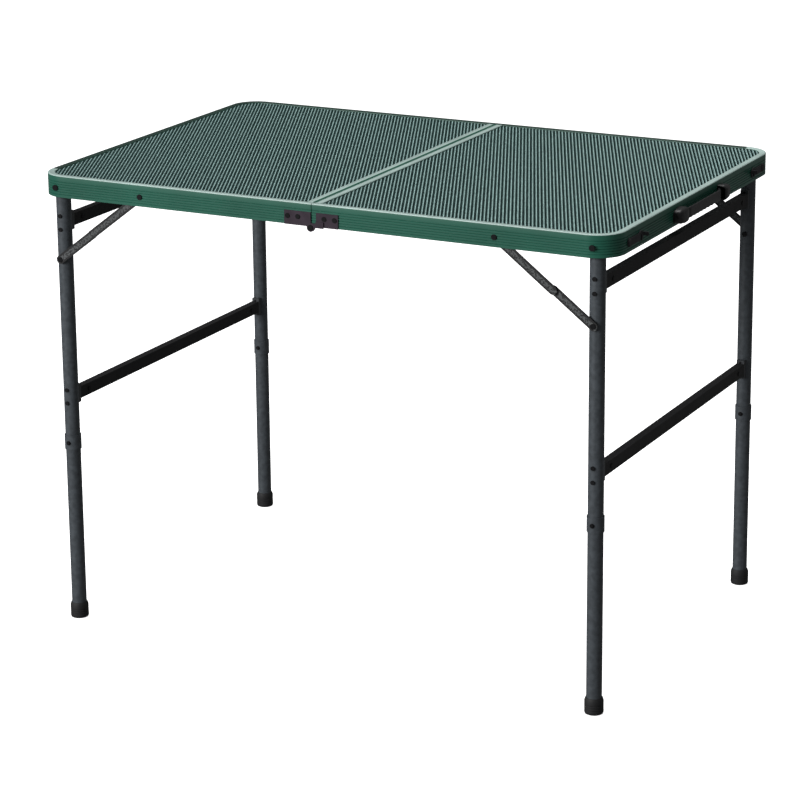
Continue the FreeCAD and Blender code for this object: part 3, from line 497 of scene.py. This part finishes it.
def strand_boxes(start, end, tilt, top, sizes):
    """A tilted bar along each strand, under the top: its points and its four long faces."""
    sunk, overlap = 0.00002, 0.0004
    run = end - start
    run /= np.linalg.norm(run, axis=1, keepdims=True)
    level = np.zeros(len(run))
    across = np.stack([run[:, 1], -run[:, 0], level], 1)
    along = np.stack([run[:, 0], run[:, 1], level], 1)
    middle = top - sunk - (sizes.strand * np.sin(tilt) + sizes.gauge * np.cos(tilt)) / 2
    wide = across * np.cos(tilt) + np.array([0, 0, 1]) * np.sin(tilt)
    thick = np.cross(along, wide)
    points = []
    for ends_at, out in ((start, -overlap), (end, overlap)):
        base = np.concatenate([ends_at, middle], 1) + along * out
        for w, t in ((-1, -1), (1, -1), (1, 1), (-1, 1)):
            points.append(base + wide * w * sizes.strand / 2 + thick * t * sizes.gauge / 2)
    vertices = np.stack(points, 1).reshape(-1, 3)
    sides_of_one = np.array([[0, 1, 5, 4], [1, 2, 6, 5], [2, 3, 7, 6], [3, 0, 4, 7]])
    faces = (np.arange(len(start))[:, None, None] * 8 + sides_of_one).reshape(-1, 4)
    return vertices.tolist(), faces.tolist()


class CAMPTABLE_OT_mesh(bpy.types.Operator):
    """Weave the expanded metal of each half out of its strands"""

    bl_idname = "camptable.mesh"
    bl_label = "Expanded Mesh"

    def execute(self, context):
        sizes, paint = context.scene.mesh_sizes, paints()
        finish = [paint["mesh_green"], paint["mesh_edge"]]
        for name, side in SIDES.items():
            low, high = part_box(f"{name}_mesh_panel")
            radius = context.scene.rim_sizes.corner - sizes.gauge * 2
            start, end, tilt = strand_lines(low, high, side, radius, sizes)
            vertices, faces = strand_boxes(start, end, tilt, high.z, sizes)
            panel = add_piece(f"{name}_expanded_mesh", vertices, faces, finish, False)
            # Mask of the upper strands, which take the pale painted highlight; the deep strands
            # take the green darkened as painted shade.
            upper = np.repeat(tilt[:, 0] < sizes.tilt, 4).astype(int)
            panel.data.polygons.foreach_set("material_index", upper)
            attach(panel, f"{name}_top", [f"{name}_mesh_panel"])
        return {"FINISHED"}


class CAMPTABLE_OT_ribs(bpy.types.Operator):
    """Form the rounded channel under the middle of each mesh"""

    bl_idname = "camptable.ribs"
    bl_label = "Centre Ribs"

    def execute(self, context):
        paint = paints()
        for name in SIDES:
            low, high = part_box(f"{name}_centre_rib")
            half, wall, top = high.y, 0.0012, high.z - 0.0012
            bend, inner_step, inner_drop = 0.002, 0.0027, 0.0025
            outer = [(-half, low.z), (-half, top - bend), (-half + bend, top)]
            outer += [(half - bend, top), (half, top - bend), (half, low.z)]
            inner = [(half - wall, low.z), (half - wall, top - inner_drop)]
            inner += [(half - inner_step, top - wall)]
            inner += [(-x, z) for x, z in reversed(inner)]
            shape = bmesh.new()
            stations = [(Vector((x, 0, 0)), Vector((0, -1, 0))) for x in (low.x, high.x)]
            sweep(shape, stations, outer + inner)
            # The rib takes the mesh's green, darkened as painted shade.
            rib = from_bmesh(f"{name}_rounded_rib", shape, [paint["mesh_green"]])
            attach(rib, f"{name}_top", [f"{name}_centre_rib"])
        return {"FINISHED"}


def turned(shape, centre, profile, steps=40):
    """A closed turned form about an upright axis, from (radius, height) points."""
    rings = []
    for radius, up in profile:
        if radius < 1e-6:
            rings.append([shape.verts.new(centre + Vector((0, 0, up)))])
            continue
        ring = []
        for i in range(steps):
            turn = 2 * math.pi * i / steps
            out = Vector((radius * math.cos(turn), radius * math.sin(turn), up))
            ring.append(shape.verts.new(centre + out))
        rings.append(ring)
    for a, b in zip(rings, rings[1:]):
        for i in range(steps):
            j = (i + 1) % steps
            if len(a) == 1:
                shape.faces.new((a[0], b[i], b[j]))
            elif len(b) == 1:
                shape.faces.new((a[i], a[j], b[0]))
            else:
                shape.faces.new((a[i], a[j], b[j], b[i]))


def foot_profile(radius, tall):
    """Half the section of a foot: a hollow sole, three grip rings and the bore for the leg."""
    sole_gap, sole_radius, bore, bore_floor = 0.0012, 0.006, 0.0112, 0.0042
    ring_foot, ring_pitch, ring_depth = 0.0055, 0.0036, 0.0006
    profile = [(0, sole_gap), (sole_radius, sole_gap), (sole_radius + 0.0008, 0)]
    profile += [(radius - 0.0022, 0), (radius - 0.0006, 0.0008), (radius, 0.0026)]
    for i in range(3):
        at = ring_foot + i * ring_pitch
        profile += [(radius, at), (radius - ring_depth, at + 0.0006)]
        profile += [(radius - ring_depth, at + 0.0012), (radius, at + 0.0018)]
    profile += [(radius, tall - 0.0045), (radius - 0.0008, tall - 0.002)]
    profile += [(radius - 0.0014, tall - 0.0006), (radius - 0.0018, tall)]
    return profile + [(bore, tall), (bore, bore_floor), (0, bore_floor)]


class CAMPTABLE_OT_feet(bpy.types.Operator):
    """Turn the rubber feet with their grip rings"""

    bl_idname = "camptable.feet"
    bl_label = "Rubber Feet"

    def execute(self, context):
        paint = paints()
        for name in SIDES:
            for face in FACES:
                node = f"{name}_{face}_foot"
                low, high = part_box(node)
                centre = Vector(((low.x + high.x) / 2, (low.y + high.y) / 2, low.z))
                shape = bmesh.new()
                turned(shape, centre, foot_profile((high.x - low.x) / 2, high.z - low.z))
                foot = from_bmesh(f"{name}_{face}_ringed_foot", shape, [paint["black_rubber"]])
                attach(foot, f"{name}_{face}_extension_leg", [node])
        return {"FINISHED"}


def rounded_ring(shape, y, near, far, low, high, radius):
    """A ring in the XZ plane, square at the near side and rounded at the far side."""
    points = [(near, low), (near, (low + high) / 2), (near, high)]
    for corner_z, start in ((high - radius, 90), (low + radius, 0)):
        for i in range(7):
            turn = math.radians(start - 15 * i)
            x = far - radius + radius * math.cos(turn)
            points.append((x, corner_z + radius * math.sin(turn)))
    return [shape.verts.new((x, y, z)) for x, z in points]


def loft(shape, rings):
    """Faces from ring to ring, with the last one closed."""
    for a, b in zip(rings, rings[1:]):
        for i in range(len(a)):
            j = (i + 1) % len(a)
            shape.faces.new((a[i], a[j], b[j], b[i]))
    shape.faces.new(rings[-1])


def handle_blocks(low, high):
    """Two rounded blocks with a pocket at the mouth, where the grip goes in."""
    block, pocket, bevel, shoulder, crown = 0.025, 0.0155, 0.0008, 0.6, 0.006
    stations = [(along, 0.0006, 0.0017, 0.0023, 0.002) for along in (pocket, 0)]
    for along, inset in ((0, bevel), (bevel, 0), (block * 0.35, 0), (block * shoulder, bevel)):
        stations.append((along, 0, inset, inset, 0.006))
    for i in range(1, 7):
        turn = math.radians(15 * i)
        inset = bevel + crown * (1 - math.cos(turn))
        along = block * shoulder + block * (1 - shoulder) * math.sin(turn)
        stations.append((along, 0, inset, inset, 0.005))
    shape = bmesh.new()
    for sign in (-1, 1):
        rings = []
        for along, near, far, ends, radius in stations:
            y = sign * (high.y - block + along)
            sides = (low.x + near, high.x - far, low.z + ends, high.z - ends)
            rings.append(rounded_ring(shape, y, *sides, radius))
        shape.faces.new(rings[0])
        loft(shape, rings)
    return shape


def bowed_grip(low, high, steps=48, round_steps=20):
    """A bar that leaves the blocks straight, steps outward and swells a little for the fingers."""
    thick, arch_end, slope = 0.004, 0.0705, 0.0145
    neck_slim, swell, finger_turns = 0.0014, 0.0004, 480
    bow, middle = high.x - thick - low.x, (low.z + high.z) / 2
    shape = bmesh.new()
    rings = []
    for i in range(steps + 1):
        y = low.y + (high.y - low.y) * i / steps
        share = min(max((arch_end - abs(y)) / slope, 0), 1)
        rise = share * share * (3 - 2 * share)
        near = low.x + bow * rise
        slim = neck_slim * (1 - rise) + swell * (1 - math.cos(y * finger_turns)) * rise
        ring = []
        for j in range(round_steps):
            turn = 2 * math.pi * j / round_steps
            across, up = math.cos(turn), math.sin(turn)
            x = near + thick / 2 + math.copysign(abs(across) ** 0.5, across) * thick / 2
            z = middle + math.copysign(abs(up) ** 0.5, up) * ((high.z - low.z) / 2 - slim)
            ring.append(shape.verts.new((x, y, z)))
        rings.append(ring)
    shape.faces.new(rings[0])
    loft(shape, rings)
    return shape


class CAMPTABLE_OT_handle(bpy.types.Operator):
    """Mould the handle's rounded blocks and its bowed grip"""

    bl_idname = "camptable.handle"
    bl_label = "Carrying Handle"

    def execute(self, context):
        black = [paints()["black_nylon"]]
        shape = handle_blocks(*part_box("handle_mounts"))
        blocks = from_bmesh("rounded_handle_blocks", shape, black, math.radians(50))
        attach(blocks, "right_top", ["handle_mounts"])
        shape = bowed_grip(*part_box("handle_grip"))
        grip = from_bmesh("moulded_handle_grip", shape, black, math.radians(60))
        attach(grip, "carry_handle", ["handle_grip"])
        return {"FINISHED"}


def finish_for(node):
    """The finish of a CAD node that keeps its own shape: that of the first word in its name."""
    kinds = {
        "ferrules": "charcoal_coat",
        "saddles": "saddle_nylon",
        "fasteners": "dark_rivet",
        "tube": "charcoal_coat",
        "crossbar": "bar_black",
        "link": "brace_coat",
        "button": "dark_rivet",
        "frame_rivets": "dark_rivet",
        "frame_pivots": "dark_rivet",
        "pins": "dark_rivet",
        "leaves": "hinge_plating",
        "latch": "latch_plating",
        "screws": "latch_plating",
    }
    return next((made for word, made in kinds.items() if word in node), "charcoal_coat")


class CAMPTABLE_OT_finishes(bpy.types.Operator):
    """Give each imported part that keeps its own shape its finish"""

    bl_idname = "camptable.finishes"
    bl_label = "Finishes"

    def execute(self, context):
        paint = paints()
        for name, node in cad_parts.items():
            if node.hide_render:
                continue
            node.data.materials.clear()
            node.data.materials.append(paint[finish_for(name)])
        return {"FINISHED"}


def soft_light(name, place, size, power):
    """A square lamp aimed at the middle of the table."""
    data = bpy.data.lights.new(name, "AREA")
    data.size = size
    data.energy = power
    lamp = bpy.data.objects.new(name, data)
    lamp.location = place
    aim = Vector((0, 0, 0.4)) - Vector(place)
    lamp.rotation_euler = aim.to_track_quat("-Z", "Y").to_euler()
    bpy.context.scene.collection.objects.link(lamp)


class CAMPTABLE_OT_stage(bpy.types.Operator):
    """Set out the floor, the lights and the camera"""

    bl_idname = "camptable.stage"
    bl_label = "Studio"

    def execute(self, context):
        floor_paint, surface = shader("floor_white", 0.9, specular=0.1)
        tree = floor_paint.node_tree
        shades(tree, surface, noise(tree, 0.6), (0.95, 0.95, 0.95), 0.99, 1.0)
        surface.inputs["Emission Color"].default_value = (1, 1, 1, 1)
        surface.inputs["Emission Strength"].default_value = 0.9
        reach = 30.0
        corners = [(-reach, -reach, 0), (reach, -reach, 0), (reach, reach, 0), (-reach, reach, 0)]
        floor = add_piece("studio_floor", corners, [(0, 1, 2, 3)], [floor_paint], False)
        floor.location.z = -0.0004
        floor.visible_diffuse = False
        floor.visible_glossy = False
        soft_light("key_light", (-3.0, -5.6, 2.6), 3.0, 430)
        soft_light("top_light", (-0.2, 0.4, 4.4), 2.6, 120)
        world = bpy.data.worlds.new("studio_air")
        world.use_nodes = True
        world.node_tree.nodes["Background"].inputs["Color"].default_value = (1, 1, 1, 1)
        world.node_tree.nodes["Background"].inputs["Strength"].default_value = 0.16
        context.scene.world = world
        context.scene.view_settings.view_transform = "Standard"
        data = bpy.data.cameras.new("camera")
        data.sensor_width = 36
        data.lens = 131.98
        data.shift_y = -0.125
        camera = bpy.data.objects.new("camera", data)
        camera.location = (1.8942, -3.7238, 1.5999)
        camera.rotation_euler = [math.radians(a) for a in (74.876, 0.493, 27.12)]
        context.scene.collection.objects.link(camera)
        context.scene.camera = camera
        return {"FINISHED"}


STEPS = [
    CAMPTABLE_OT_rims,
    CAMPTABLE_OT_fold_rails,
    CAMPTABLE_OT_mesh,
    CAMPTABLE_OT_ribs,
    CAMPTABLE_OT_feet,
    CAMPTABLE_OT_handle,
    CAMPTABLE_OT_finishes,
    CAMPTABLE_OT_stage,
]


class CAMPTABLE_PT_sidebar(bpy.types.Panel):
    """Sizes, colours and steps of the camp table"""

    bl_label = "Camp Kitchen Table"
    bl_idname = "CAMPTABLE_PT_sidebar"
    bl_space_type = "VIEW_3D"
    bl_region_type = "UI"
    bl_category = "Camp Table"

    def draw(self, context):
        for group_name, group in GROUPS.items():
            part = self.layout.box()
            for key in group.__annotations__:
                part.prop(getattr(context.scene, group_name), key)
        for step in STEPS:
            self.layout.operator(step.bl_idname)


GROUPS = {"rim_sizes": RimSizes, "mesh_sizes": MeshSizes, "table_colours": TableColours}


def register():
    for made in [*GROUPS.values(), *STEPS, CAMPTABLE_PT_sidebar]:
        bpy.utils.register_class(made)
    for key, made in GROUPS.items():
        setattr(bpy.types.Scene, key, PointerProperty(type=made))


def unregister():
    for key in GROUPS:
        delattr(bpy.types.Scene, key)
    for made in reversed([*GROUPS.values(), *STEPS, CAMPTABLE_PT_sidebar]):
        bpy.utils.unregister_class(made)


def main():
    register()
    bpy.ops.camptable.rims()
    bpy.ops.camptable.fold_rails()
    bpy.ops.camptable.mesh()
    bpy.ops.camptable.ribs()
    bpy.ops.camptable.feet()
    bpy.ops.camptable.handle()
    bpy.ops.camptable.finishes()
    bpy.ops.camptable.stage()


if __name__ == "__main__":
    main()
